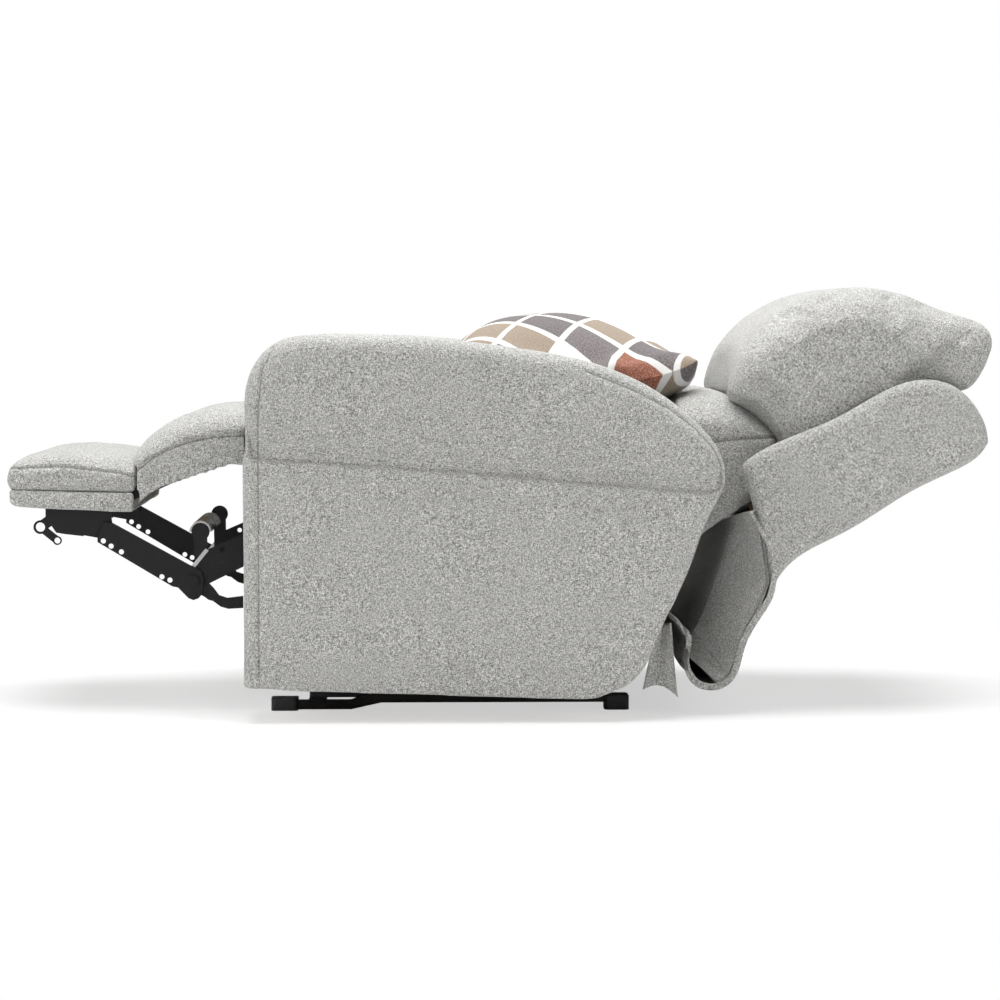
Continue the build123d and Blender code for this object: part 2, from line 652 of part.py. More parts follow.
def back_flap():
    """Cloth tail that hangs from the bottom of the back and hooks over the tail rail."""
    inner_loop = shifted(FLAP_LOOP, FLAP_T)
    under_hook = shifted(FLAP_HOOK, -FLAP_T)
    with BuildPart() as back_flap_part:
        with BuildSketch(Plane.XZ):
            with BuildLine():
                Spline(*FLAP_LOOP)
                Line(FLAP_LOOP[-1], inner_loop[-1])
                Spline(*inner_loop[::-1])
                Line(inner_loop[0], FLAP_LOOP[0])
            make_face()
        extrude(amount=BACK_HALF, both=True)
        with BuildSketch(Plane.XZ):
            with BuildLine():
                Spline(*FLAP_HOOK)
                Line(FLAP_HOOK[-1], under_hook[-1])
                Spline(*under_hook[::-1])
                Line(under_hook[0], FLAP_HOOK[0])
            make_face()
        extrude(amount=SEAT_PLATE_IN - 3, both=True)
        lining_front = shifted(FLAP_LINING, 2)
        with BuildSketch(Plane.XZ):
            with BuildLine():
                Spline(*FLAP_LINING)
                Line(FLAP_LINING[-1], lining_front[-1])
                Spline(*lining_front[::-1])
                Line(lining_front[0], FLAP_LINING[0])
            make_face()
        extrude(amount=LEG_ARM_IN - 2, both=True)
    save(back_flap_part.part, "back_flap")


# ================= footrest =================
def leg_panel():
    """Leg section: steel side arms, board and the soft chaise pad over them."""
    with BuildPart() as leg_arms:
        for side in SIDES.values():
            with BuildSketch(layer(side, LEG_ARM_IN, PLATE)):
                bar(LEG_PIVOT, OTTOMAN_PIVOT, 24)
                disc(LEG_PIVOT, HOLE_D, Mode.SUBTRACT)
            extrude(amount=PLATE)
            stud(side, OTTOMAN_PIVOT, LEG_ARM_IN + PLATE, EAR_IN + PLATE + 0.6)
    save(leg_arms.part, "leg_arms")
    with BuildPart() as leg_board:
        with BuildSketch(Plane.XZ):
            with BuildLine():
                Polyline((-645, 439), (-597, 475.5), (-540, 496.5), (-492, 500), (-492, 482), (-536, 478), (-588, 458),
                         (-640, 420), close=True)
            make_face()
        extrude(amount=LEG_ARM_IN - 0.05, both=True)
    save(leg_board.part, "leg_board")
    with BuildPart() as chaise_pad:
        with BuildSketch(Plane.XZ):
            with BuildLine():
                Spline(*LEG_TOP)
                Polyline(LEG_TOP[-1], *LEG_UNDER)
            make_face()
        extrude(amount=SEAT_HALF, both=True)
        fillet(chaise_pad.edges().filter_by(lambda edge: edge.length > 200 and edge.geom_type == GeomType.BSPLINE), 14)
        for side in SIDES.values():
            with BuildSketch(layer(side, SEAT_HALF - HEM_T, HEM_T)):
                with BuildLine():
                    Polyline(*LEG_HEM, *[(x, z + 1) for x, z in LEG_UNDER[::-1]], close=True)
                make_face()
            extrude(amount=HEM_T)
    save(chaise_pad.part, "chaise_pad")


def ottoman():
    """Ottoman: padded top, board and the steel brackets under it."""
    with BuildPart() as ottoman_pad:
        with BuildSketch(Plane.XZ):
            with BuildLine():
                Spline(*FOOT_TOP[:-1])
                Polyline(FOOT_TOP[-2], FOOT_TOP[-1], FOOT_TOP[0])
            make_face()
        extrude(amount=SEAT_HALF, both=True)
        fillet(ottoman_pad.edges().filter_by(lambda edge: edge.length > 200 and edge.geom_type == GeomType.BSPLINE), 20)
        for side in SIDES.values():
            with BuildSketch(layer(side, LEG_ARM_IN - 3, EAR_SLOT)):
                bar((-706, 374), OTTOMAN_PIVOT, 34)
            extrude(amount=EAR_SLOT, mode=Mode.SUBTRACT)
    save(ottoman_pad.part, "ottoman_pad")
    with BuildPart() as ottoman_board:
        with BuildSketch(Plane.XZ):
            with BuildLine():
                Polyline((-882, 401.5), (-882, 380), (-872, 374), (-819, 370), (-698, 363.5), (-660, 363.5),
                         (-659, 366), (-659, 396.5), close=True)
            make_face()
        extrude(amount=SEAT_HALF - 3, both=True)
        for side in SIDES.values():
            with BuildSketch(layer(side, LEG_ARM_IN - 3, EAR_SLOT)):
                bar((-706, 374), OTTOMAN_PIVOT, 34)
            extrude(amount=EAR_SLOT, mode=Mode.SUBTRACT)
    save(ottoman_board.part, "ottoman_board")
    with BuildPart() as ottoman_brackets:
        for side in SIDES.values():
            with BuildSketch(layer(side, REAR_LINK_IN, PLATE)):
                with BuildLine():
                    Polyline((-819, 370), (-819, 354), (-800, 326), (-786, 323.5), (-751, 319.5), (-750, 321),
                             (-725, 316.5), (-697, 330), (-701, 363.5), close=True)
                make_face()
                bar(BUMPER_EYE, (-806, 352), 20)
                bar(BUMPER_EYE, SMALL_EYE, 14)
                disc(BUMPER_EYE, 25)
                disc(BUMPER_EYE, 17, Mode.SUBTRACT)
                disc(SMALL_EYE, 16)
                disc(SMALL_EYE, 11, Mode.SUBTRACT)
            extrude(amount=PLATE)
            with BuildSketch(layer(side, REAR_LINK_IN - 22, 22)):
                with BuildLine():
                    Polyline((-819, 369.9), (-819, 366), (-712, 360), (-712, 364.2), close=True)
                make_face()
            extrude(amount=22)
            with BuildSketch(layer(side, EAR_IN, PLATE)):
                bar((-704, 378), OTTOMAN_PIVOT, 22)
                disc(OTTOMAN_PIVOT, HOLE_D, Mode.SUBTRACT)
            extrude(amount=PLATE)
            stud(side, OTTOMAN_LINK_PIVOT, REAR_LINK_IN + PLATE, FRONT_LINK_IN - TOUCH_GAP)
    save(ottoman_brackets.part, "ottoman_brackets")


def foot_links():
    """Scissor links that carry the ottoman, their arched cross channel and the driven tube."""
    for side_name, side in SIDES.items():
        with BuildPart() as foot_link_rear:
            with BuildSketch(layer(side, REAR_LINK_IN, PLATE)):
                bar(LINK_PIVOT, (-446, 291), 36)
                bar((-446, 291), KNEE_PIVOT, 36)
                disc(LINK_PIVOT, 42)
                bar((-538, 262), ARCH_MIDDLE, 24)
                disc(ARCH_MIDDLE, ARCH_D - 2 * ARCH_T - 0.2)
                bar((-534, 279), (-420, 329), 23)
                disc((-499.5, 294.5), 9, Mode.SUBTRACT)
                with BuildLine():
                    Polyline((-545, 215), (-533, 209), (-525, 203), (-517, 201), (-503, 190.5), (-489, 186.5), (-462, 188),
                             (-462, 210), (-491, 206.5), (-506, 211.5), (-515, 224), (-530, 240), close=True)
                make_face()
                disc(LINK_PIVOT, TUBE_PRESS_D, Mode.SUBTRACT)
            extrude(amount=PLATE)
            stud(side, KNEE_PIVOT, REAR_LINK_IN + PLATE, FRONT_LINK_IN + PLATE + 0.3)
            stud(side, KNEE_PIVOT, FRONT_LINK_IN + PLATE + 0.3, FRONT_LINK_IN + PLATE + 2.8, 20)
        save(foot_link_rear.part, f"foot_link_rear_{side_name}")
    with BuildPart() as foot_links_front:
        for side in SIDES.values():
            with BuildSketch(layer(side, FRONT_LINK_IN, PLATE)):
                with BuildLine():
                    Polyline((-714, 345), (-697, 343.5), (-590, 284.5), (-560, 268), (-538, 256), (-533, 240),
                             (-536, 214), (-543, 206), (-552, 203), (-561, 206.5), (-580, 226), (-590, 228),
                             (-725, 309), (-725, 318), close=True)
                make_face()
                disc(KNEE_PIVOT, HOLE_D, Mode.SUBTRACT)
                for hole in LINK_HOLES:
                    disc(hole, 9.5, Mode.SUBTRACT)
            extrude(amount=PLATE)
    save(foot_links_front.part, "foot_links_front")
    with BuildPart() as foot_cross_channel:
        with BuildSketch(Plane.XZ.offset(ARCH_END)):
            disc(ARCH_MIDDLE, ARCH_D)
            disc(ARCH_MIDDLE, ARCH_D - 2 * ARCH_T, Mode.SUBTRACT)
            with Locations((ARCH_MIDDLE[0], ARCH_MIDDLE[1] - ARCH_D / 2)):
                Rectangle(ARCH_D + 6, ARCH_D, mode=Mode.SUBTRACT)
        extrude(amount=REAR_LINK_IN + PLATE - ARCH_END)
        for side in SIDES.values():
            with BuildSketch(layer(side, REAR_LINK_IN + PLATE, BRACE_T)):
                with BuildLine():
                    Polyline((-563, 256), (-557, 252.5), (-524, 293), (-530, 297), close=True)
                make_face()
            extrude(amount=BRACE_T)
    save(foot_cross_channel.part, "foot_cross_channel")
    _, crank, middle_y = FOOT_MOTOR

    def crank_plate():
        bar(LINK_PIVOT, crank, 24)

    with BuildPart() as foot_torque_tube:
        with BuildSketch(Plane.XZ):
            disc(LINK_PIVOT, TUBE_D)
        extrude(amount=REAR_LINK_IN + PLATE, both=True)
        cheeks(middle_y, CRANK_IN, 6, crank_plate)
    save(foot_torque_tube.part, "foot_torque_tube")


# ================= loose pillow =================
def throw_pillow():
    """Square scatter pillow lying on the seat and leaning on the back."""
    tilt = radians(5)
    lie = Plane(origin=(139, 0, 634), x_dir=(cos(tilt), 0, sin(tilt)), z_dir=(-sin(tilt), 0, cos(tilt)))
    with BuildPart() as throw_pillow_part:
        for shoulder, crown in ((45, 78), (-45, -85)):
            with BuildSketch(lie):
                RectangleRounded(470, 450, 30)
            with BuildSketch(lie.offset(shoulder)):
                RectangleRounded(400, 380, 60)
            loft()
            with BuildSketch(lie.offset(shoulder)):
                RectangleRounded(400, 380, 60)
            with BuildSketch(lie.offset(crown)):
                RectangleRounded(230, 210, 80)
            loft()
    save(throw_pillow_part.part, "throw_pillow")


for name_of_side, sign in SIDES.items():
    base_rail(name_of_side, sign)
    arm(name_of_side, sign)
base_cross_tubes()
floor_glides()
base_posts()
power_supply()
lift_arms()
guide_links()
motor("lift", LIFT_MOTOR, 300, False)
motor("foot", FOOT_MOTOR, 330, True)
motor("back", BACK_MOTOR, 330, True)
seat_side_plates()
seat_rails()
seat_springs()
seat_cushion()
arm_mounts()
control_panel()
back_shell()
back_frame()
back_brackets()
cushions()
back_flap()
leg_panel()
ottoman()
foot_links()
throw_pillow()
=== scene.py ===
import json
from math import radians

import bpy
import numpy as np
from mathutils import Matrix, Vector, kdtree, noise


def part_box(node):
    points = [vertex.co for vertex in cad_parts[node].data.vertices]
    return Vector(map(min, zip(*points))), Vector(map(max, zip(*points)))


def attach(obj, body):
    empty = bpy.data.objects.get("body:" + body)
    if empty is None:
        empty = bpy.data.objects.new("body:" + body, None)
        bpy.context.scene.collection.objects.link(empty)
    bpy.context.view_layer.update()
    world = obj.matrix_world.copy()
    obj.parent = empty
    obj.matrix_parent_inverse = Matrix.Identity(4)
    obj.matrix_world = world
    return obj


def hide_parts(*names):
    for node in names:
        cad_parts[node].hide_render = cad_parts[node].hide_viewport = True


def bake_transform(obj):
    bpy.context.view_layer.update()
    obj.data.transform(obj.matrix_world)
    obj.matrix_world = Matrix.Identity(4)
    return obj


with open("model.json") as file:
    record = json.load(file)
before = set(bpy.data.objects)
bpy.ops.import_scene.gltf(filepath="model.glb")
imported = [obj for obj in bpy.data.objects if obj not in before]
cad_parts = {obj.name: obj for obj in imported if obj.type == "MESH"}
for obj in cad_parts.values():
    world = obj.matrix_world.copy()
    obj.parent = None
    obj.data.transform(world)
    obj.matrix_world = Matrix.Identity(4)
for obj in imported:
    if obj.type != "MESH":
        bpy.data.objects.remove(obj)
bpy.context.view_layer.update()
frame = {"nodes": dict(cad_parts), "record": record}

# Lift recliner chair, fully reclined. Metres; the front faces -X, the left arm is at -Y.
scene = bpy.context.scene
SIDES = {"left": -1, "right": 1}
BACK_TURN = radians(31.4)
SEAT_HALF = 0.276
WELD = 0.00005

# ---- upholstery: where folds, seams and soft edges run, as (x, z) ----
ARM_FOLD = [(-0.448, 0.470), (-0.350, 0.464), (-0.060, 0.447), (0.105, 0.430), (0.245, 0.418),
            (0.393, 0.408)]
ARM_WELT = [(0.150, 0.621), (0.230, 0.589), (0.297, 0.555), (0.340, 0.522), (0.377, 0.483), (0.393, 0.445)]
ARM_HOLLOWS = [((0.312, 0.392), (0.376, 0.440)), ((-0.440, 0.455), (-0.400, 0.490))]  # low and high corner
FRONT_SEAM = [(-0.424, 0.080), (-0.424, 0.480), (-0.4225, 0.560), (-0.415, 0.625), (-0.396, 0.662)]
LUMBAR_SEAM = [(0.360, 0.484), (0.390, 0.489), (0.440, 0.494), (0.507, 0.498)]
FLAP_LINING = [(0.432, 0.3535), (0.415, 0.275), (0.384, 0.185), (0.355, 0.125), (0.3415, 0.104)]
OTTOMAN_SEAM = [(-0.884, 0.443), (-0.784, 0.446), (-0.683, 0.434), (-0.655, 0.428)]
CHAISE_SEAM = [(-0.652, 0.437), (-0.626, 0.459), (-0.597, 0.475), (-0.554, 0.491), (-0.511, 0.499),
               (-0.452, 0.502)]
WING_TIP = (0.866, 0.503)  # the wings' lower rear corner
WING_FRONT = (0.436, 0.454)  # their front corner

# How far the pad's top rises (z) along the arm (x), and how full the crowned pads stay (share) along x.
ARM_LOFT = [(-0.446, -0.012), (-0.415, 0.0), (-0.380, 0.005), (-0.140, 0.010), (0.100, 0.013),
            (0.260, 0.016), (0.330, 0.013), (0.385, 0.002)]
OTTOMAN_FULLNESS = [(-0.885, 0.78), (-0.86, 0.68), (-0.80, 0.54), (-0.69, 0.52)]
CHAISE_FULLNESS = [(-0.6, 0.80), (-0.45, 0.80)]

# The cloth tail: steps of its run up under the back, and where each height of the lining meets the loop.
FLAP_TOP_RUN = [(0.006, 0, 0.028), (-0.006, 0, 0.034), (-0.020, 0, 0.034), (-0.020, 0, 0.034)]
LINING_EDGE = [(0.104, 0.384, 0.057), (0.125, 0.413, 0.068), (0.150, 0.427, 0.098), (0.185, 0.440, 0.146),
               (0.230, 0.466, 0.192), (0.275, 0.484, 0.240), (0.315, 0.475, 0.310), (0.3535, 0.461, 0.368)]


# ================= camera, light and floor =================
def make_camera():
    data = bpy.data.cameras.new("camera")
    data.sensor_width = 36
    data.lens = 107
    camera = bpy.data.objects.new("camera", data)
    camera.location = (-0.140, -5.657, 0.700)
    camera.rotation_euler = (radians(86.65), 0, radians(-1.54))
    scene.collection.objects.link(camera)
    scene.camera = camera


def add_light(name, place, target, size, power):
    """One large soft light aimed at a point."""
    data = bpy.data.lights.new(name, "AREA")
    data.shape = "DISK"
    data.size = size
    data.energy = power
    light = bpy.data.objects.new(name, data)
    light.location = place
    light.rotation_euler = (Vector(target) - Vector(place)).to_track_quat("-Z", "Y").to_euler()
    scene.collection.objects.link(light)


def make_studio():
    scene.view_settings.view_transform = "Standard"
    world = bpy.data.worlds.new("studio")
    scene.world = world
    world.use_nodes = True
    nodes, links = world.node_tree.nodes, world.node_tree.links
    path = nodes.new("ShaderNodeLightPath")
    seen = nodes.new("ShaderNodeMath")
    seen.operation = "MAXIMUM"
    links.new(path.outputs["Is Camera Ray"], seen.inputs[0])
    links.new(path.outputs["Is Transmission Ray"], seen.inputs[1])
    strength = nodes.new("ShaderNodeMapRange")
    strength.inputs["To Min"].default_value = 0.12
    strength.inputs["To Max"].default_value = 1.0
    links.new(seen.outputs[0], strength.inputs["Value"])
    links.new(strength.outputs[0], nodes["Background"].inputs["Strength"])
    nodes["Background"].inputs["Color"].default_value = (1, 1, 1, 1)
    add_light("top", (0.1, 0.0, 3.6), (0.1, 0, 0.3), 4.0, 262)
    add_light("front", (-3.2, -1.8, 2.2), (-0.3, 0, 0.4), 2.0, 60)
    add_light("back", (3.2, -2.6, 2.0), (0.6, 0, 0.5), 2.0, 43)
    bpy.ops.mesh.primitive_plane_add(size=24, location=(0, 0, -0.0005))
    floor = bpy.context.object
    floor.name = "floor"
    floor.data.materials.append(floor_material())


# ================= materials =================
def node_group(name, inputs, outputs):
    """A new shader node group with named sockets; returns its tree and its input and output nodes."""
    tree = bpy.data.node_groups.new(name, "ShaderNodeTree")
    for title, kind, value in inputs:
        socket = tree.interface.new_socket(title, in_out="INPUT", socket_type=kind)
        if value is not None:
            socket.default_value = value
    for title, kind in outputs:
        tree.interface.new_socket(title, in_out="OUTPUT", socket_type=kind)
    return tree, tree.nodes.new("NodeGroupInput"), tree.nodes.new("NodeGroupOutput")


def link_value(tree, socket, value):
    """Feeds a node's socket from another socket or sets it to a constant."""
    if isinstance(value, bpy.types.NodeSocket):
        tree.links.new(value, socket)
    else:
        socket.default_value = value


def maths(tree, operation, first, second=0.0):
    node = tree.nodes.new("ShaderNodeMath")
    node.operation = operation
    for place, value in enumerate((first, second)):
        link_value(tree, node.inputs[place], value)
    return node.outputs[0]


def ramp(tree, value, low, high, to_low=0.0, to_high=1.0):
    node = tree.nodes.new("ShaderNodeMapRange")
    node.interpolation_type = "SMOOTHSTEP"
    link_value(tree, node.inputs["Value"], value)
    for title, number in (("From Min", low), ("From Max", high), ("To Min", to_low), ("To Max", to_high)):
        node.inputs[title].default_value = number
    return node.outputs[0]


def blend_colours(tree, share, first, second):
    node = tree.nodes.new("ShaderNodeMix")
    node.data_type = "RGBA"
    link_value(tree, node.inputs["Factor"], share)
    link_value(tree, node.inputs["A"], first)
    link_value(tree, node.inputs["B"], second)
    return node.outputs["Result"]


def grain(tree, vector, scale, detail=2.0, roughness=0.5):
    """Noise drawn out along the axes: `scale` is its features per metre in x, y and z."""
    stretch = tree.nodes.new("ShaderNodeVectorMath")
    stretch.operation = "MULTIPLY"
    link_value(tree, stretch.inputs[0], vector)
    stretch.inputs[1].default_value = scale
    texture = tree.nodes.new("ShaderNodeTexNoise")
    texture.inputs["Scale"].default_value = 1.0
    texture.inputs["Detail"].default_value = detail
    texture.inputs["Roughness"].default_value = roughness
    tree.links.new(stretch.outputs[0], texture.inputs["Vector"])
    return texture.outputs["Fac"]


def turned(tree, vector, angle):
    """The same place measured along a direction leaned about the Y axis."""
    if not angle:
        return vector
    node = tree.nodes.new("ShaderNodeVectorRotate")
    node.rotation_type = "Y_AXIS"
    node.inputs["Angle"].default_value = angle
    tree.links.new(vector, node.inputs["Vector"])
    return node.outputs[0]


def heather_weave_group():
    """Heathered flat weave: slubs drawn out along x, y and z cross each other on any face."""
    tree, given, made = node_group(
        "heather_weave",
        [("Vector", "NodeSocketVector", None)],
        [("Color", "NodeSocketColor"), ("Height", "NodeSocketFloat")],
    )
    place = given.outputs["Vector"]
    along = grain(tree, place, (225, 600, 640))
    upright = grain(tree, place, (640, 600, 225))
    across = grain(tree, place, (640, 225, 600))
    crossing = maths(tree, "MAXIMUM", maths(tree, "MAXIMUM", along, upright), across)
    darkest = maths(tree, "MINIMUM", maths(tree, "MINIMUM", along, upright), across)
    fleck = ramp(tree, darkest, 0.44, 0.29)
    light = ramp(tree, crossing, 0.53, 0.72)
    cloud = ramp(tree, grain(tree, place, (9, 9, 9), 3), 0.35, 0.65)
    ground, pale = (0.38, 0.378, 0.360, 1), (0.78, 0.775, 0.746, 1)
    dark, shade = (0.08, 0.08, 0.077, 1), (0.30, 0.30, 0.29, 1)
    body = blend_colours(tree, light, ground, pale)
    body = blend_colours(tree, maths(tree, "MULTIPLY", fleck, 0.9), body, dark)
    body = blend_colours(tree, maths(tree, "MULTIPLY", cloud, 0.07), body, shade)
    tree.links.new(body, made.inputs["Color"])
    height = maths(tree, "ADD", maths(tree, "ADD", along, upright), maths(tree, "ADD", across, light))
    height = maths(tree, "SUBTRACT", height, maths(tree, "MULTIPLY", fleck, 1.4))
    tree.links.new(maths(tree, "MULTIPLY", height, 0.25), made.inputs["Height"])
    return tree


def new_material(name, **settings):
    """A material and its Principled shader, with constant values set straight on the shader."""
    material = bpy.data.materials.new(name)
    material.use_nodes = True
    shader = material.node_tree.nodes["Principled BSDF"]
    for title, value in settings.items():
        shader.inputs[title.replace("_", " ")].default_value = value
    return material, material.node_tree, shader


def object_place(tree):
    return tree.nodes.new("ShaderNodeTexCoord").outputs["Object"]


def add_bump(tree, shader, height, distance, strength=1.0):
    bump = tree.nodes.new("ShaderNodeBump")
    bump.inputs["Distance"].default_value = distance
    bump.inputs["Strength"].default_value = strength
    tree.links.new(height, bump.inputs["Height"])
    tree.links.new(bump.outputs["Normal"], shader.inputs["Normal"])


def seam_line(tree):
    """Nearness to a marked seam: each seam's signed offset, plus 1, is kept with the piece's vertices.
    Returns a narrow mask for the painted shade along the seam and a wider one for its dip in the bump.
    """
    gaps = []
    for number in (1, 2):
        mark = tree.nodes.new("ShaderNodeAttribute")
        mark.attribute_name = f"seam_{number}"
        gaps.append(maths(tree, "ABSOLUTE", maths(tree, "SUBTRACT", mark.outputs["Fac"], 1.0)))
    gap = maths(tree, "MINIMUM", *gaps)
    return ramp(tree, gap, 0.0022, 0.0006), ramp(tree, gap, 0.0060, 0.0005)


def weave_material(name, angle=0.0):
    material, tree, shader = new_material(name, Roughness=0.92, Sheen_Weight=0.2, Sheen_Roughness=0.5)
    weave = tree.nodes.new("ShaderNodeGroup")
    weave.node_tree = HEATHER
    tree.links.new(turned(tree, object_place(tree), angle), weave.inputs["Vector"])
    # Painted shade: the seam crease is darkened with a near-black colour, besides its dip in the bump.
    painted_seam_shade, dip = seam_line(tree)
    share = maths(tree, "MULTIPLY", painted_seam_shade, 0.45)
    colour = blend_colours(tree, share, weave.outputs["Color"], (0.05, 0.05, 0.048, 1))
    tree.links.new(colour, shader.inputs["Base Color"])
    height = maths(tree, "SUBTRACT", weave.outputs["Height"], maths(tree, "MULTIPLY", dip, 1.1))
    add_bump(tree, shader, height, 0.002, 0.9)
    return material


def floor_material():
    """Pale floor that keeps the soft shadow round the chair and melts into the white beyond it."""
    material, tree, shader = new_material("floor", Roughness=0.8)
    place = object_place(tree)
    shade = blend_colours(tree, grain(tree, place, (3, 3, 3)), (0.93, 0.93, 0.93, 1), (0.95, 0.95, 0.95, 1))
    tree.links.new(shade, shader.inputs["Base Color"])
    distance = tree.nodes.new("ShaderNodeVectorMath")
    distance.operation = "LENGTH"
    tree.links.new(place, distance.inputs[0])
    far = ramp(tree, distance.outputs["Value"], 0.8, 1.7, 0.56, 1.0)
    path = tree.nodes.new("ShaderNodeLightPath")
    clear = tree.nodes.new("ShaderNodeBsdfTransparent")
    mix = tree.nodes.new("ShaderNodeMixShader")
    tree.links.new(maths(tree, "MULTIPLY", far, path.outputs["Is Camera Ray"]), mix.inputs["Fac"])
    tree.links.new(shader.outputs[0], mix.inputs[1])
    tree.links.new(clear.outputs[0], mix.inputs[2])
    tree.links.new(mix.outputs[0], tree.nodes["Material Output"].inputs["Surface"])
    return material


def worn_group():
    """Worn coating: a little colour drift, fine tooth and scuffs that change the sheen."""
    tree, given, made = node_group(
        "worn_coat",
        [("Vector", "NodeSocketVector", None), ("Base", "NodeSocketColor", (0.5, 0.5, 0.5, 1)),
         ("Scuff", "NodeSocketColor", (0.6, 0.6, 0.6, 1)), ("Amount", "NodeSocketFloat", 0.2),
         ("Smooth", "NodeSocketFloat", 0.35)],
        [("Color", "NodeSocketColor"), ("Roughness", "NodeSocketFloat"), ("Height", "NodeSocketFloat")],
    )
    place = given.outputs["Vector"]
    scuff = ramp(tree, grain(tree, place, (45, 45, 160), 5, 0.65), 0.58, 0.75)
    dust = ramp(tree, grain(tree, place, (12, 12, 12), 3), 0.3, 0.7)
    share = maths(tree, "MULTIPLY", scuff, given.outputs["Amount"])
    colour = blend_colours(tree, share, given.outputs["Base"], given.outputs["Scuff"])
    tree.links.new(colour, made.inputs["Color"])
    drift = maths(tree, "ADD", maths(tree, "MULTIPLY", scuff, 0.15), maths(tree, "MULTIPLY", dust, 0.08))
    tree.links.new(maths(tree, "ADD", given.outputs["Smooth"], drift), made.inputs["Roughness"])
    fine = grain(tree, place, (900, 900, 900), 2)
    tree.links.new(maths(tree, "ADD", fine, maths(tree, "MULTIPLY", scuff, -0.3)), made.inputs["Height"])
    return tree


def worn_material(name, base, scuff, amount, smooth, metallic=0.0, tooth=0.00012, **settings):
    material, tree, shader = new_material(name, Metallic=metallic, **settings)
    worn = tree.nodes.new("ShaderNodeGroup")
    worn.node_tree = WORN
    tree.links.new(object_place(tree), worn.inputs["Vector"])
    worn.inputs["Base"].default_value = (*base, 1)
    worn.inputs["Scuff"].default_value = (*scuff, 1)
    worn.inputs["Amount"].default_value = amount
    worn.inputs["Smooth"].default_value = smooth
    tree.links.new(worn.outputs["Color"], shader.inputs["Base Color"])
    tree.links.new(worn.outputs["Roughness"], shader.inputs["Roughness"])
    add_bump(tree, shader, worn.outputs["Height"], tooth)
    return material


def wood_material():
    """Sanded plywood: long grain lines with darker knots."""
    material, tree, shader = new_material("raw_plywood", Roughness=0.75)
    place = object_place(tree)
    lines = ramp(tree, grain(tree, place, (14, 120, 160), 4, 0.6), 0.35, 0.65)
    colour = blend_colours(tree, lines, (0.42, 0.29, 0.17, 1), (0.62, 0.46, 0.30, 1))
    tree.links.new(colour, shader.inputs["Base Color"])
    add_bump(tree, shader, lines, 0.0003)
    return material


def print_material():
    """Printed cotton: rows of turned squares in off-white, taupe, plum-grey and rust with pale outlines."""
    material, tree, shader = new_material("print_cloth", Roughness=0.88, Sheen_Weight=0.2,
                                          Sheen_Roughness=0.5)
    cotton = (0.58, 0.57, 0.55, 1)
    place = tree.nodes.new("ShaderNodeAttribute")
    place.attribute_name = "print_place"
    turn = tree.nodes.new("ShaderNodeVectorRotate")
    turn.rotation_type = "Z_AXIS"
    turn.inputs["Angle"].default_value = radians(38)
    tree.links.new(place.outputs["Vector"], turn.inputs["Vector"])
    size = tree.nodes.new("ShaderNodeVectorMath")
    size.operation = "MULTIPLY"
    size.inputs[1].default_value = (9.5, 15.0, 0)
    tree.links.new(turn.outputs[0], size.inputs[0])
    cell = tree.nodes.new("ShaderNodeVectorMath")
    cell.operation = "FLOOR"
    tree.links.new(size.outputs[0], cell.inputs[0])
    inside = tree.nodes.new("ShaderNodeVectorMath")
    inside.operation = "FRACTION"
    tree.links.new(size.outputs[0], inside.inputs[0])
    parts = tree.nodes.new("ShaderNodeSeparateXYZ")
    tree.links.new(inside.outputs[0], parts.inputs[0])
    edge_x = maths(tree, "MINIMUM", parts.outputs[0], maths(tree, "SUBTRACT", 1.0, parts.outputs[0]))
    edge_y = maths(tree, "MINIMUM", parts.outputs[1], maths(tree, "SUBTRACT", 1.0, parts.outputs[1]))
    edge = maths(tree, "MINIMUM", maths(tree, "MULTIPLY", edge_x, 1.55), edge_y)
    outline = ramp(tree, edge, 0.10, 0.07)
    pick = tree.nodes.new("ShaderNodeTexWhiteNoise")
    pick.noise_dimensions = "3D"
    tree.links.new(cell.outputs[0], pick.inputs["Vector"])
    palette = tree.nodes.new("ShaderNodeValToRGB")
    palette.color_ramp.interpolation = "CONSTANT"
    stops = [(0.0, (0.205, 0.155, 0.105)), (0.24, (0.070, 0.056, 0.060)), (0.42, (0.60, 0.59, 0.57)),
             (0.66, (0.23, 0.21, 0.207)), (0.78, (0.21, 0.052, 0.017)), (0.89, (0.095, 0.078, 0.082))]
    ramp_stops = palette.color_ramp.elements
    while len(ramp_stops) < len(stops):
        ramp_stops.new(0.5)
    for stop, (where, colour) in zip(ramp_stops, stops):
        stop.position = where
        stop.color = (*colour, 1)
    tree.links.new(pick.outputs["Value"], palette.inputs["Fac"])
    thread = grain(tree, place.outputs["Vector"], (260, 900, 500), 2)
    weft = grain(tree, place.outputs["Vector"], (900, 260, 500), 2)
    cloth = maths(tree, "MULTIPLY", maths(tree, "ADD", thread, weft), 0.5)
    colour = blend_colours(tree, outline, palette.outputs["Color"], cotton)
    faded = blend_colours(tree, ramp(tree, cloth, 0.45, 0.62, 0, 0.22), colour, (0.62, 0.6, 0.57, 1))
    tree.links.new(faded, shader.inputs["Base Color"])
    add_bump(tree, shader, cloth, 0.0012)
    return material


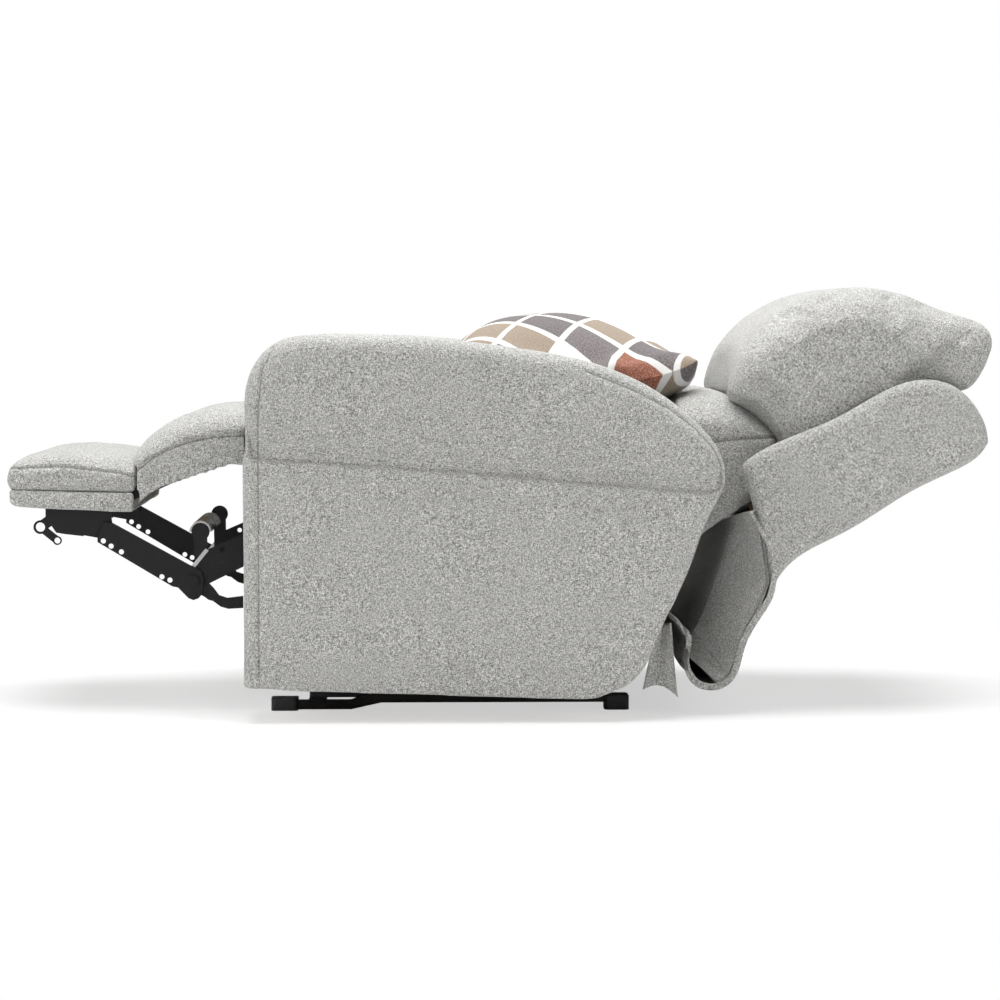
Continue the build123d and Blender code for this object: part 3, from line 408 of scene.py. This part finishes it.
HEATHER = heather_weave_group()
WORN = worn_group()
WEAVE = weave_material("grey_weave")
WEAVE_BACK = weave_material("grey_weave_back", BACK_TURN)
FINISHES = {
    "frame_steel": worn_material("frame_steel", (0.006, 0.006, 0.0063), (0.04, 0.04, 0.04), 0.25, 0.5,
                                  Specular_IOR_Level=0.3),
    "bright_steel": worn_material("bright_steel", (0.55, 0.55, 0.54), (0.3, 0.3, 0.3), 0.5, 0.25, 1.0),
    "spring_steel": worn_material("spring_steel", (0.3, 0.3, 0.3), (0.12, 0.1, 0.09), 0.5, 0.35, 1.0),
    "black_plastic": worn_material("black_plastic", (0.022, 0.022, 0.024), (0.08, 0.08, 0.08), 0.3, 0.5,
                                   tooth=0.0003),
    "button_plastic": worn_material("button_plastic", (0.35, 0.35, 0.34), (0.2, 0.2, 0.2), 0.2, 0.5,
                                    tooth=0.0002),
    "frame_wood": wood_material(),
    "grey_weave": WEAVE,
    "print_cloth": print_material(),
}


# ================= shaping tools =================
def level_at(x, line):
    """Value of a line of (x, value) points at each x."""
    return np.interp(x, [p[0] for p in line], [p[1] for p in line])


def rise(value, start, reach):
    """0 up to `start`, then growing evenly to 1 over `reach`."""
    return np.clip((value - start) / reach, 0, 1)


def fall(value, end, reach):
    """1 until `reach` short of `end`, then shrinking evenly to 0 there."""
    return np.clip((end - value) / reach, 0, 1)


def near(distance, width):
    """1 at no distance, fading out smoothly over about `width`."""
    return np.exp(-((distance / width) ** 2))


def pick_only(piece):
    bpy.ops.object.select_all(action="DESELECT")
    piece.select_set(True)
    bpy.context.view_layer.objects.active = piece


def apply_modifiers(piece):
    pick_only(piece)
    for modifier in list(piece.modifiers):
        bpy.ops.object.modifier_apply(modifier=modifier.name)


def copy_of(name, *nodes):
    """A merged copy of some CAD nodes' meshes, to be shaped further."""
    copies = []
    for node in nodes:
        copied = frame["nodes"][node].copy()
        copied.data = copied.data.copy()
        copied.parent = None
        for key in list(copied.keys()):
            del copied[key]
        scene.collection.objects.link(copied)
        copies.append(copied)
    bpy.ops.object.select_all(action="DESELECT")
    for copied in copies:
        copied.select_set(True)
    piece = copies[0]
    bpy.context.view_layer.objects.active = piece
    if len(copies) > 1:
        bpy.ops.object.join()
    bpy.ops.object.mode_set(mode="EDIT")
    bpy.ops.mesh.select_all(action="SELECT")
    bpy.ops.mesh.remove_doubles(threshold=WELD)
    bpy.ops.mesh.normals_make_consistent(inside=False)
    bpy.ops.object.mode_set(mode="OBJECT")
    piece.name = name
    piece.data.name = name
    piece.data.materials.clear()
    return piece


def remesh(piece, voxel, rounds):
    """Even quads all over, with the hard edges rounded by some rounds of smoothing."""
    modifier = piece.modifiers.new("even", "REMESH")
    modifier.mode = "VOXEL"
    modifier.voxel_size = voxel
    modifier.use_smooth_shade = True
    apply_modifiers(piece)
    if rounds:
        soften(piece, rounds)


def soften(piece, rounds, weight=None):
    """Evens out the surface; `weight` is the share of the move that each vertex makes."""
    before = points_of(piece)
    smooth = piece.modifiers.new("soften", "SMOOTH")
    smooth.iterations = rounds
    smooth.factor = 0.5
    apply_modifiers(piece)
    if weight is not None:
        after = points_of(piece)
        place_points(piece, before + (after - before) * weight[:, None])


def points_of(piece):
    co = np.empty(len(piece.data.vertices) * 3)
    piece.data.vertices.foreach_get("co", co)
    return co.reshape(-1, 3)


def normals_of(piece):
    co = np.empty(len(piece.data.vertices) * 3)
    piece.data.vertices.foreach_get("normal", co)
    return co.reshape(-1, 3)


def place_points(piece, points):
    piece.data.vertices.foreach_set("co", np.ascontiguousarray(points).ravel())
    piece.data.update()


def line_offset(x, z, line):
    """Signed distance of each (x, z) from an open line of points."""
    best = np.full(len(x), 9.0)
    for (ax, az), (bx, bz) in zip(line, line[1:]):
        dx, dz = bx - ax, bz - az
        share = np.clip(((x - ax) * dx + (z - az) * dz) / (dx * dx + dz * dz), 0, 1)
        gap_x, gap_z = x - ax - share * dx, z - az - share * dz
        gap = np.hypot(gap_x, gap_z) * np.where(dx * gap_z < dz * gap_x, -1, 1)
        best = np.where(np.abs(gap) < np.abs(best), gap, best)
    return best


def mark_seam(piece, number, line, side=0, reach=0.0):
    """Marks a seam for the weave material along a line in side view, on one side face or right round; the
    weave paints shade along it and dips its bump there.
    """
    points = points_of(piece)
    offset = line_offset(points[:, 0], points[:, 2], line)
    if side:
        offset = np.where(points[:, 1] * side > reach, offset, np.sign(offset))
    mark = piece.data.attributes.new(f"seam_{number}", "FLOAT", "POINT")
    mark.data.foreach_set("value", (offset + 1).astype(np.float32))


def crease(piece, line, depth, width, sides=(-1, 1), reach=0.0):
    """Presses a seam into the side faces along a line in side view."""
    points = points_of(piece)
    normals = normals_of(piece)
    distance = np.abs(line_offset(points[:, 0], points[:, 2], line))
    press = depth * near(distance, width)
    facing = np.abs(normals[:, 1]) > 0.35
    for side in sides:
        chosen = facing & (normals[:, 1] * side > 0) & (points[:, 1] * side > reach)
        points[chosen] -= normals[chosen] * press[chosen, None]
    place_points(piece, points)


def ruffle(piece, weight, scale, height, seed):
    """Moves the surface in and out by smooth noise; `weight` is its share at each vertex."""
    points = points_of(piece)
    normals = normals_of(piece)
    shift = Vector((seed, seed * 1.7, seed * 0.6))
    chosen = np.nonzero(weight > 0.02)[0]
    for place in chosen:
        x, y, z = points[place]
        swing = noise.noise(Vector((x * scale[0], y * scale[1], z * scale[2])) + shift)
        points[place] += normals[place] * (height * swing * weight[place])
    place_points(piece, points)


def inflate(piece, pressure, cap, low=None, high=None, frames=14, shrink=0.0):
    """Fills the piece like a cushion cover, moving no point further than `cap`."""
    start = points_of(piece).copy()
    cloth = piece.modifiers.new("fill", "CLOTH")
    settings = cloth.settings
    settings.quality = 4
    settings.mass = 0.2
    settings.tension_stiffness = 12
    settings.compression_stiffness = 12
    settings.shear_stiffness = 5
    settings.bending_stiffness = 0.4
    settings.shrink_min = shrink
    settings.use_pressure = True
    settings.uniform_pressure_force = pressure
    settings.effector_weights.gravity = 0
    cloth.point_cache.frame_start = 1
    cloth.point_cache.frame_end = frames
    for step in range(1, frames + 1):
        scene.frame_set(step)
    shaped = piece.evaluated_get(bpy.context.evaluated_depsgraph_get())
    after = np.empty(len(start) * 3)
    shaped.data.vertices.foreach_get("co", after)
    after = after.reshape(-1, 3)
    piece.modifiers.remove(cloth)
    scene.frame_set(1)
    move = after - start
    length = np.linalg.norm(move, axis=1)
    move *= np.minimum(1, cap / np.maximum(length, 1e-9))[:, None]
    points = start + move
    if low is not None:
        points = np.clip(points, low, high)
    place_points(piece, points)


def refine(piece):
    modifier = piece.modifiers.new("refine", "SUBSURF")
    modifier.levels = 1
    modifier.render_levels = 1
    apply_modifiers(piece)


def finish_piece(piece, material, body, nodes):
    """Gives a finished piece its material and body, and lets it stand for its CAD nodes."""
    piece.data.materials.clear()
    piece.data.materials.append(material)
    pick_only(piece)
    bpy.ops.object.shade_smooth()
    if body:
        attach(piece, body)
    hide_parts(*nodes)


def crown(piece, seam, half_width, reach, keep, fullness=((0, 1.0),)):
    """Lowers what stands above a side seam towards it near the sides, as a stuffed top pad sits."""
    points = points_of(piece)
    level = level_at(points[:, 0], seam)
    share = rise(np.abs(points[:, 1]), half_width - reach, reach)
    scale = keep + (1 - keep) * np.sqrt(1 - share**2)
    scale *= level_at(points[:, 0], fullness)
    above = points[:, 2] > level
    points[above, 2] = level[above] + (points[above, 2] - level[above]) * scale[above]
    place_points(piece, points)


def cushion(name, node, body, voxel, pressure, cap, spread, material=WEAVE, rounds=6, seams=(), shape=None):
    """A stuffed piece shaped from its CAD solid: evened, rounded, filled, seamed and refined."""
    low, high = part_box(node)
    piece = copy_of(name, node)
    remesh(piece, voxel, rounds)
    if shape:
        shape(piece)
    room = np.array((0.012, spread, 0.012))
    inflate(piece, pressure, cap, np.array(low) - room, np.array(high) + room)
    for line, depth, width in seams:
        crease(piece, line, depth, width)
    refine(piece)
    # The seams are marked, and the weave paints shade along them.
    for number, (line, _, _) in enumerate(seams, 1):
        mark_seam(piece, number, line)
    finish_piece(piece, material, body, (node,))


# ================= arms =================
def filler(low, high):
    """A block that fills a hollow between padded boards before they are merged."""
    bpy.ops.mesh.primitive_cube_add(size=1, location=(Vector(low) + Vector(high)) / 2)
    block = bpy.context.object
    block.scale = Vector(high) - Vector(low)
    bpy.ops.object.transform_apply(location=True, rotation=False, scale=True)
    return block


def make_arm(side_name, side):
    """One arm cover: pad, outer, inner and front padding in one skin, with a fold under the pad."""
    nodes = [f"arm_{part}_{side_name}" for part in ("pad", "outer_panel", "inner_panel", "front_panel")]
    pad_low, pad_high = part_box(nodes[0])
    reach = sorted((abs(pad_low[1]), abs(pad_high[1])))
    arm = copy_of(f"arm_cover_{side_name}", *nodes)
    blocks = []
    for inner, outer in ((reach[0] + 0.0116, reach[0] + 0.025), (reach[1] - 0.025, reach[1] - 0.0113)):
        edges = sorted((side * inner, side * outer))
        for low, high in ARM_HOLLOWS:
            blocks.append(filler((low[0], edges[0], low[1]), (high[0], edges[1], high[1])))
    pick_only(arm)
    for block in blocks:
        block.select_set(True)
    bpy.ops.object.join()
    swell = arm.modifiers.new("swell", "DISPLACE")
    swell.strength = 0.0016
    swell.mid_level = 0.0
    remesh(arm, 0.0055, 0)
    points = points_of(arm)
    in_pad = rise(points[:, 2] - level_at(points[:, 0], ARM_FOLD), -0.02, 0.05)
    soften(arm, 7, 0.30 + 0.70 * in_pad)

    # The pad's top rises, and the cover is tucked in along the fold under the pad.
    points = points_of(arm)
    normals = normals_of(arm)
    along = points[:, 0]
    above = points[:, 2] - level_at(along, ARM_FOLD)
    points[:, 2] += level_at(along, ARM_LOFT) * rise(above, 0.05, 0.09)
    tuck = 0.015 * near(np.maximum(above, 0), 0.038) - 0.002 * near(above - 0.09, 0.05)
    for face, outward in ((reach[1], side), (-reach[0], -side)):
        pressed = (normals[:, 1] * outward > 0.25) & (points[:, 1] * outward > face - 0.009)
        pressed &= above > -0.004
        points[pressed, 1] -= outward * tuck[pressed]
    place_points(arm, points)
    soften(arm, 6, near(above, 0.016))
    # Loose folds, a soft unevenness and the seams on the outer face.
    outer_side = reach[1] - 0.03
    on_outside = rise(points[:, 1] * side, outer_side, 0.012)
    middle = rise(along, -0.46, 0.10) * fall(along, 0.40, 0.10)
    ruffle(arm, on_outside * middle * near(above - 0.020, 0.030), (8, 20, 70), 0.0040, 3.0 + side)
    ruffle(arm, on_outside * middle * near(above + 0.030, 0.030), (7, 20, 60), 0.0030, 5.0 + side)
    ruffle(arm, on_outside, (4, 4, 5), 0.0030, 11.0 + side)
    crease(arm, ARM_WELT, 0.003, 0.006, (side,), outer_side)
    crease(arm, FRONT_SEAM, 0.002, 0.005, (side,), outer_side)
    # The seams are marked, and the weave paints shade along them.
    mark_seam(arm, 1, ARM_WELT, side, outer_side)
    mark_seam(arm, 2, FRONT_SEAM, side, outer_side)
    finish_piece(arm, WEAVE, "chair", nodes)


# ================= cushions =================
def make_cushions():
    cushion("seat_foam", "seat_cushion", "chair", 0.009, 3.0, 0.010, 0.001)
    cushion("chaise_foam", "chaise_pad", "leg_panel", 0.0048, 3.0, 0.006, 0.0, rounds=9,
            seams=[(CHAISE_SEAM, 0.003, 0.004)], shape=shape_chaise)
    cushion("ottoman_foam", "ottoman_pad", "ottoman", 0.0065, 3.0, 0.006, 0.0, rounds=4,
            seams=[(OTTOMAN_SEAM, 0.003, 0.004)], shape=shape_ottoman)
    cushion("lumbar_foam", "lumbar_cushion", "back", 0.007, 3.0, 0.006, 0.001, WEAVE_BACK, rounds=4,
            seams=[(LUMBAR_SEAM, 0.003, 0.004)], shape=shape_lumbar)
    cushion("head_foam", "head_cushion", "back", 0.008, 4.0, 0.010, 0.004, WEAVE_BACK, shape=shape_head)
    make_ottoman_wrap()


def make_ottoman_wrap():
    """Cover cloth pulled round the ottoman's board; the pad above rests on it."""
    wrap = copy_of("ottoman_wrap", "ottoman_board")
    remesh(wrap, 0.0045, 3)
    points = points_of(wrap)
    middle = points[:, 2].mean()
    points[:, 2] += np.where(points[:, 2] > middle, 0.0016, 0.0004)
    place_points(wrap, points)
    ruffle(wrap, np.ones(len(wrap.data.vertices)), (9, 9, 9), 0.0012, 51.0)
    finish_piece(wrap, WEAVE, "ottoman", ("ottoman_board",))


def shape_lumbar(piece):
    """Rounds the bolster's sides above its seam."""
    crown(piece, LUMBAR_SEAM, SEAT_HALF, 0.110, 0.30)


def shape_chaise(piece):
    """Crowns the leg pad, fills its underside and presses its ends against the arms and the ottoman pad."""
    crown(piece, CHAISE_SEAM, SEAT_HALF, 0.100, 0.10, CHAISE_FULLNESS)
    points = points_of(piece)
    points[:, 0] += 0.009 * rise(points[:, 0], -0.490, 0.032) ** 2
    points[:, 0] -= 0.006 * fall(points[:, 0], -0.615, 0.030)
    below_seam = level_at(points[:, 0], CHAISE_SEAM) - points[:, 2]
    points[:, 2] -= 0.009 * rise(below_seam, 0.030, 0.03) * rise(points[:, 0], -0.620, 0.05)
    place_points(piece, points)


def shape_ottoman(piece):
    """Crowns the ottoman pad; its rear end presses against the leg pad and it sits down on its board."""
    crown(piece, OTTOMAN_SEAM, SEAT_HALF, 0.110, 0.05, OTTOMAN_FULLNESS)
    points = points_of(piece)
    points[:, 0] += 0.006 * rise(points[:, 0], -0.690, 0.028)
    points[:, 2] -= 0.0015 * fall(points[:, 2], 0.425, 0.02)
    place_points(piece, points)


def shape_head(piece):
    """Rounds the head cushion's lower end, lowers it along the side edges and draws out its far end."""
    points = points_of(piece)
    edge = 1 - np.sqrt(1 - rise(np.abs(points[:, 1]), 0.200, 0.100) ** 2)
    low_end = fall(points[:, 0], 0.600, 0.200)
    top = rise(points[:, 2], 0.560, 0.160) * fall(points[:, 0], 0.850, 0.140)
    shift = (0.026 + 0.020 * edge) * low_end**1.5 * rise(points[:, 2], 0.520, 0.05)
    points[:, 0] += shift
    points[:, 2] -= 0.35 * shift * fall(points[:, 2], 0.660, 0.060) + 0.026 * edge * top
    points[:, 2] -= 0.006 * top
    over_wing = near(points[:, 0] - 0.775, 0.060)
    points[:, 2] -= 0.016 * over_wing * fall(points[:, 2], 0.650, 0.05)
    points[:, 0] += 0.018 * fall(points[:, 0], 0.440, 0.05)
    points[:, 0] += 0.013 * rise(points[:, 0], 0.760, 0.12) ** 2
    place_points(piece, points)


def make_back():
    """Padded back with its wings, whose rims are rolled right round without drawing in the outline."""
    shell = copy_of("back_skin", "back_shell")
    half_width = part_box("back_shell")[1][1]
    roll = 0.015
    remesh(shell, 0.0065, 0)
    points = points_of(shell)
    normals = normals_of(shell)
    from_middle = np.abs(points[:, 1]) - (half_width - roll)
    in_wing = np.abs(from_middle) < roll + 0.002
    rim = in_wing & (np.abs(normals[:, 1]) < 0.5)
    tree = kdtree.KDTree(int(rim.sum()))
    for number, place in enumerate(points[rim]):
        tree.insert((place[0], 0, place[2]), number)
    tree.balance()
    for number in np.nonzero(in_wing)[0]:
        gap = tree.find((points[number, 0], 0, points[number, 2]))[2]
        outer = from_middle[number] > 0 or normals[number, 1] * points[number, 1] < 0
        if outer and gap < roll:
            share = max(0.15, (1 - (1 - gap / roll) ** 2) ** 0.5)
            level = half_width - roll + from_middle[number] * share
            points[number, 1] = np.sign(points[number, 1]) * level
    place_points(shell, points)
    soften(shell, 4)
    # The lower rear corner of the wings is drawn out and rounded, and their front corner is rounded.
    points = points_of(shell)
    from_tip = np.hypot(points[:, 0] - WING_TIP[0], points[:, 2] - WING_TIP[1])
    points += np.array((0.014, 0, -0.012)) * near(from_tip, 0.09)[:, None]
    from_point = np.hypot(points[:, 0] - WING_TIP[0] - 0.010, points[:, 2] - WING_TIP[1] + 0.0105)
    points += np.array((-0.008, 0, 0.004)) * near(from_point, 0.014)[:, None]
    place_points(shell, points)
    soften(shell, 60, near(from_tip, 0.030))
    from_front = np.hypot(points[:, 0] - WING_FRONT[0], points[:, 2] - WING_FRONT[1])
    soften(shell, 24, near(from_front, 0.020))
    ruffle(shell, np.ones(len(shell.data.vertices)), (5, 4, 5), 0.0035, 41.0)
    finish_piece(shell, WEAVE_BACK, "back", ("back_shell",))


def hem_tab(side):
    """The folded end corner of the cloth tail, which hangs down beside the tail rail."""
    bpy.ops.mesh.primitive_grid_add(x_subdivisions=10, y_subdivisions=14, size=1)
    tab = bpy.context.object
    points = points_of(tab)
    across, down = points[:, 0] + 0.5, 0.5 - points[:, 1]
    top = np.stack([0.285 + 0.020 * across, 0.165 + 0.006 * across], axis=1)
    arch = 0.014 * np.sin(np.pi * across)
    bottom = np.stack([0.258 + 0.062 * across, 0.051 - 0.014 * across + arch], axis=1)
    place = top * (1 - down[:, None]) + bottom * down[:, None]
    bow = 0.010 * np.sin(np.pi * across) + 0.006 * np.sin(5 * across + 2 * down)
    place_points(tab, np.stack([place[:, 0], side * (0.385 - bow), place[:, 1]], axis=1))
    body = tab.modifiers.new("body", "SOLIDIFY")
    body.thickness = 0.003
    apply_modifiers(tab)
    return tab


def make_flap():
    """Cloth tail between the back and the tail rail."""
    flap = copy_of("cloth_tail", "back_flap")
    half_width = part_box("back_flap")[1][1]
    spacing = 0.010
    bpy.ops.object.mode_set(mode="EDIT")
    for place in np.arange(-half_width + 0.006, half_width, spacing):
        bpy.ops.mesh.select_all(action="SELECT")
        bpy.ops.mesh.bisect(plane_co=(0, place, 0), plane_no=(0, 1, 0))
    bpy.ops.mesh.select_all(action="DESELECT")
    bpy.ops.object.mode_set(mode="OBJECT")
    for face in flap.data.polygons:
        face.select = face.center.x > 0.488 and face.center.z > 0.233 and face.normal.z > 0.7
    bpy.ops.object.mode_set(mode="EDIT")
    for step in FLAP_TOP_RUN:
        bpy.ops.mesh.extrude_region_move(TRANSFORM_OT_translate={"value": step})
    bpy.ops.object.mode_set(mode="OBJECT")
    # The lining is as wide as the back, and its side edges are sewn to the loop.
    points = points_of(flap)
    lining = np.abs(line_offset(points[:, 0], points[:, 2], FLAP_LINING)) < 0.0035
    lining &= (points[:, 2] > 0.108) & (np.abs(points[:, 1]) < 0.240)
    points[lining, 1] *= 1.5
    drawn = rise(np.abs(points[:, 1]), 0.235, 0.108)
    drawn *= drawn * (3 - 2 * drawn)
    levels = [p[0] for p in LINING_EDGE]
    seam = [np.interp(points[:, 2], levels, [p[axis] for p in LINING_EDGE]) for axis in (1, 2)]
    points[lining, ::2] += (drawn[:, None] * (np.stack(seam, axis=1) - points[:, ::2]))[lining]
    # The hook over the rail flares towards the loop.
    hook = (points[:, 2] < 0.19) & (points[:, 0] > 0.296) & (points[:, 0] < 0.338) & ~lining
    hook &= np.abs(points[:, 1]) < 0.27
    points[hook, 1] *= (1 + 0.55 * rise(points[:, 0], 0.296, 0.02))[hook]
    place_points(flap, points)
    # The side hems are a little thicker than the cloth.
    normals = normals_of(flap)
    normals[:, 1] = 0
    normals /= np.maximum(np.linalg.norm(normals, axis=1), 0.3)[:, None]
    hem = near(half_width - np.abs(points[:, 1]), 0.014)
    place_points(flap, points + normals * (0.003 * hem)[:, None])
    ruffle(flap, np.ones(len(flap.data.vertices)), (7, 5, 7), 0.0030, 71.0)
    rim = flap.modifiers.new("rim", "BEVEL")
    rim.width = 0.0018
    rim.segments = 2
    rim.angle_limit = radians(50)
    apply_modifiers(flap)
    tabs = [hem_tab(side) for side in SIDES.values()]
    pick_only(flap)
    for tab in tabs:
        tab.select_set(True)
    bpy.ops.object.join()
    finish_piece(flap, WEAVE, None, ("back_flap",))
    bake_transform(flap)


def make_throw_pillow():
    """Square scatter pillow with a knife edge: a subdivided box, puffed up, then filled like a cover."""
    half_length, half_width, top, bottom, tilt = 0.268, 0.238, 0.118, 0.112, radians(4)
    middle = np.array((0.120, 0.0, 0.617))
    bpy.ops.mesh.primitive_cube_add(size=2)
    pillow = bpy.context.object
    pillow.name = "scatter_pillow"
    half_edge = 0.0012
    pillow.scale = (half_length, half_width, half_edge)
    bpy.ops.object.transform_apply(location=False, rotation=False, scale=True)
    bpy.ops.object.mode_set(mode="EDIT")
    bpy.ops.mesh.select_all(action="SELECT")
    bpy.ops.mesh.subdivide(number_cuts=63)
    bpy.ops.object.mode_set(mode="OBJECT")
    points = points_of(pillow)
    flat = points.copy()
    u, v = points[:, 0] / half_length, points[:, 1] / half_width
    upper = points[:, 2] > 0
    ahead = u + 0.16 * (1 - u**2)
    bulge = np.maximum(1 - np.abs(ahead) ** 2.4, 0) * np.maximum(1 - np.abs(v) ** 2.4, 0)
    points[:, 2] += np.where(upper, top * bulge**0.72, -bottom * bulge**0.45)
    outward = np.abs(u) + np.abs(v)
    ear = rise(outward, 1.35, 0.5) * (1 - np.maximum(np.abs(u), np.abs(v)) ** 20)
    points[:, 2] += np.where(upper, 0.011, -0.011) * ear
    points[:, :2] *= (1 - 0.045 * rise(outward, 1.72, 0.28) ** 2)[:, None]
    points[:, 2] -= 0.036 * (np.abs(v) ** 3 * (1 - u**2) + 0.6 * np.abs(u) ** 3 * (1 - v**2))
    points[:, 0] *= 1 - 0.070 * (1 - np.abs(v) ** 1.8)
    points[:, 1] *= 1 - 0.070 * (1 - np.abs(u) ** 1.8)
    place_points(pillow, points)
    ruffle(pillow, rise(outward, 0.9, 0.9), (18, 18, 8), 0.005, 61.0)
    soften(pillow, 2)
    inflate(pillow, 2.5, 0.010, frames=12, shrink=0.02)
    places = pillow.data.attributes.new("print_place", "FLOAT_VECTOR", "POINT")
    spread = np.stack([flat[:, 0], flat[:, 1], np.sign(flat[:, 2]) * 0.5], axis=1)
    places.data.foreach_set("vector", spread.astype(np.float32).ravel())
    points = points_of(pillow)
    lean = np.array(((np.cos(tilt), 0, np.sin(tilt)), (0, 1, 0), (-np.sin(tilt), 0, np.cos(tilt))))
    points = points @ lean + middle
    points[:, 2] = np.maximum(points[:, 2], 0.5495 + 0.2 * np.maximum(points[:, 0] - 0.25, 0))
    place_points(pillow, points)
    finish_piece(pillow, FINISHES["print_cloth"], "pillow", ("throw_pillow",))


# ================= steel, plastic and wood =================
def dress_hard_nodes():
    """Finishes and softened edges on the CAD nodes that stay in view."""
    slots = {row["node"]: row["material_slot"] for row in frame["record"]["subparts"]}
    for name, node in frame["nodes"].items():
        if node.hide_render:
            continue
        node.data.materials.clear()
        node.data.materials.append(FINISHES[slots[name]])
        if slots[name] in ("frame_steel", "black_plastic", "bright_steel"):
            weld = node.modifiers.new("weld", "WELD")
            weld.merge_threshold = WELD
            bevel = node.modifiers.new("bevel", "BEVEL")
            bevel.width = 0.0006
            bevel.segments = 2
            bevel.limit_method = "ANGLE"
            bevel.angle_limit = radians(40)
            bevel.harden_normals = True


make_camera()
make_studio()
for name_of_side, sign in SIDES.items():
    make_arm(name_of_side, sign)
make_cushions()
make_back()
make_flap()
make_throw_pillow()
dress_hard_nodes()
